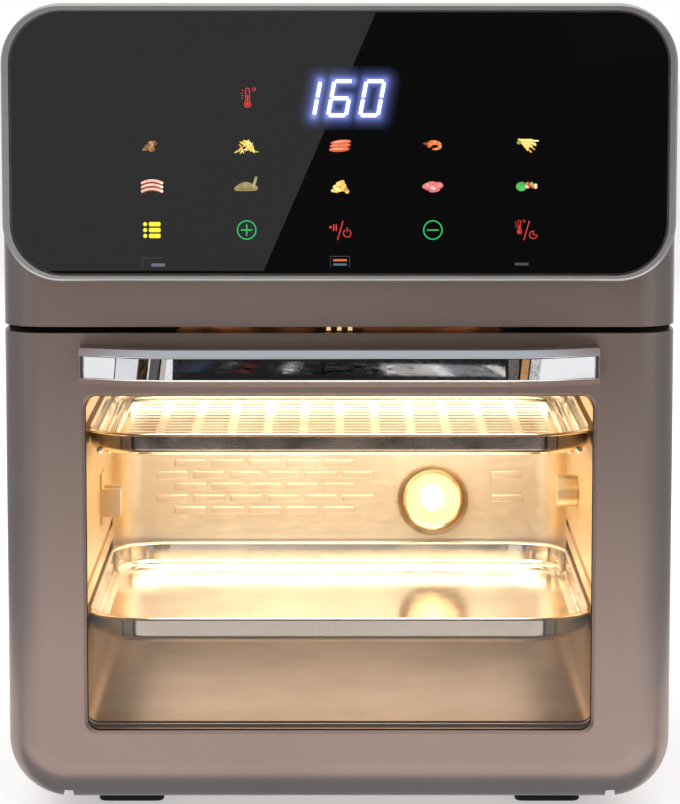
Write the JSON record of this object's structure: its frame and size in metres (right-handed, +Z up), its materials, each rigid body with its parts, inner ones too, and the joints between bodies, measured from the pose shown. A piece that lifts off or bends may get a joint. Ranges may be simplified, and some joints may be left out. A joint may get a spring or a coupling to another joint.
{
  "type": "air fryer oven",
  "caption": "Upright countertop air fryer oven with a drop-down glass door, bow handle, touch control head, slotted and plain sliding trays, ceiling fan and heater.",
  "frame": {"origin": "centre of the bounding box on the plane of the feet's undersides", "axes": "+X to the right seen from the front, +Y towards the back, +Z up"},
  "size_m": [0.312, 0.3243, 0.38],
  "materials": {
    "taupe_metal": "satin metallic taupe paint",
    "taupe_moulding": "satin metallic taupe paint on a moulding",
    "bright_chrome": "mirror chrome",
    "black_glass": "black back-printed tempered glass",
    "clear_glass": "clear tempered glass",
    "lamp_glass": "clear capsule, lit warm",
    "bright_steel": "bright rolled stainless",
    "tray_steel": "pressed stainless",
    "taupe_steel": "satin taupe enamel",
    "dark_steel": "satin black enamel",
    "zinc_steel": "zinc plated",
    "heater_sheath": "heat-dulled sheath",
    "fan_aluminium": "pressed sheet",
    "lamination": "stacked laminations",
    "copper_winding": "varnished wire",
    "black_moulding": "fine texture",
    "pale_moulding": "plain",
    "black_rubber": "matte silicone",
    "circuit_board": "solder mask",
    "cable_grey": "flat ribbon",
    "ceramic_white": "unglazed"
  },
  "bodies": {
    "cabinet": {"base_plate": "zinc_steel", "bearing_straps": "zinc_steel", "cabinet_shell": "taupe_metal", "cavity_liner": "bright_steel", "chassis_screws": "zinc_steel", "control_fascia": "taupe_moulding", "control_glass": "black_glass", "cord_gland": "black_moulding", "deck_plate": "dark_steel", "display_module": "black_moulding", "door_magnets": "lamination", "door_seal": "black_rubber", "door_switch": "black_moulding", "exhaust_duct": "zinc_steel", "exhaust_grille": "black_moulding", "fan_guard": "bright_steel", "feet": "black_moulding", "front_frame": "dark_steel", "head_cover": "taupe_moulding", "heater_chamber": "zinc_steel", "heating_element": "heater_sheath", "hinge_brackets": "zinc_steel", "lamp_bulb": "lamp_glass", "lamp_cover": "clear_glass", "lamp_socket": "ceramic_white", "light_guide": "pale_moulding", "motor_coil": "copper_winding", "motor_mount": "zinc_steel", "motor_stator": "lamination", "power_board": "circuit_board", "power_bracket": "zinc_steel", "rear_cover": "dark_steel", "rear_spacers": "black_rubber", "ribbon_cable": "cable_grey", "seam_bumpers": "black_rubber", "spit_motor": "zinc_steel", "spit_rest": "bright_steel", "standoffs": "zinc_steel", "temperature_sensor": "bright_steel", "terminal_block": "pale_moulding", "thermal_cutout": "zinc_steel", "touch_board": "circuit_board"},
    "door": {"door_frame": "taupe_moulding", "window_gasket": "black_rubber", "door_outer_glass": "clear_glass", "door_inner_frame": "taupe_steel", "door_inner_glass": "clear_glass", "door_screws": "zinc_steel", "handle_bar": "taupe_moulding", "handle_strip": "bright_chrome", "latch_tongue": "zinc_steel", "hinge_pins": "zinc_steel"},
    "upper_pan": {"upper_tray": "tray_steel"},
    "lower_pan": {"lower_tray": "tray_steel"},
    "fan_rotor": {"motor_shaft": "zinc_steel", "rotor_core": "lamination", "convection_fan": "fan_aluminium", "cooling_fan": "black_moulding"},
    "spit_socket": {"spit_drive": "bright_steel"},
    "safety_button": {"switch_plunger": "pale_moulding"}
  },
  "joints": [
    {"name": "door_hinge", "type": "hinge", "parent": "cabinet", "child": "door", "pos_m": [0, -0.126, 0.021], "axis": [1, 0, 0], "range_deg": [0, 80]},
    {"name": "upper_tray_slide", "type": "slide", "parent": "cabinet", "child": "upper_pan", "axis": [0, -1, 0], "range_m": [0, 0.15]},
    {"name": "lower_tray_slide", "type": "slide", "parent": "cabinet", "child": "lower_pan", "axis": [0, -1, 0], "range_m": [0, 0.07]},
    {"name": "fan_spin", "type": "hinge", "parent": "cabinet", "child": "fan_rotor", "pos_m": [0, 0.0042, 0.24], "axis": [0, 0, 1], "continuous": true},
    {"name": "spit_spin", "type": "hinge", "parent": "cabinet", "child": "spit_socket", "pos_m": [0.118, 0.012, 0.132], "axis": [1, 0, 0], "continuous": true},
    {"name": "switch_press", "type": "slide", "parent": "cabinet", "child": "safety_button", "axis": [0, -1, 0], "range_m": [0, 0.003]}
  ],
  "couplings": [
    {"joint": "upper_tray_slide", "follows": "door_hinge", "m_per_rad": 0.10743},
    {"joint": "lower_tray_slide", "follows": "door_hinge", "m_per_rad": 0.050133},
    {"joint": "switch_press", "follows": "door_hinge", "m_per_rad": 0.002148}
  ]
}
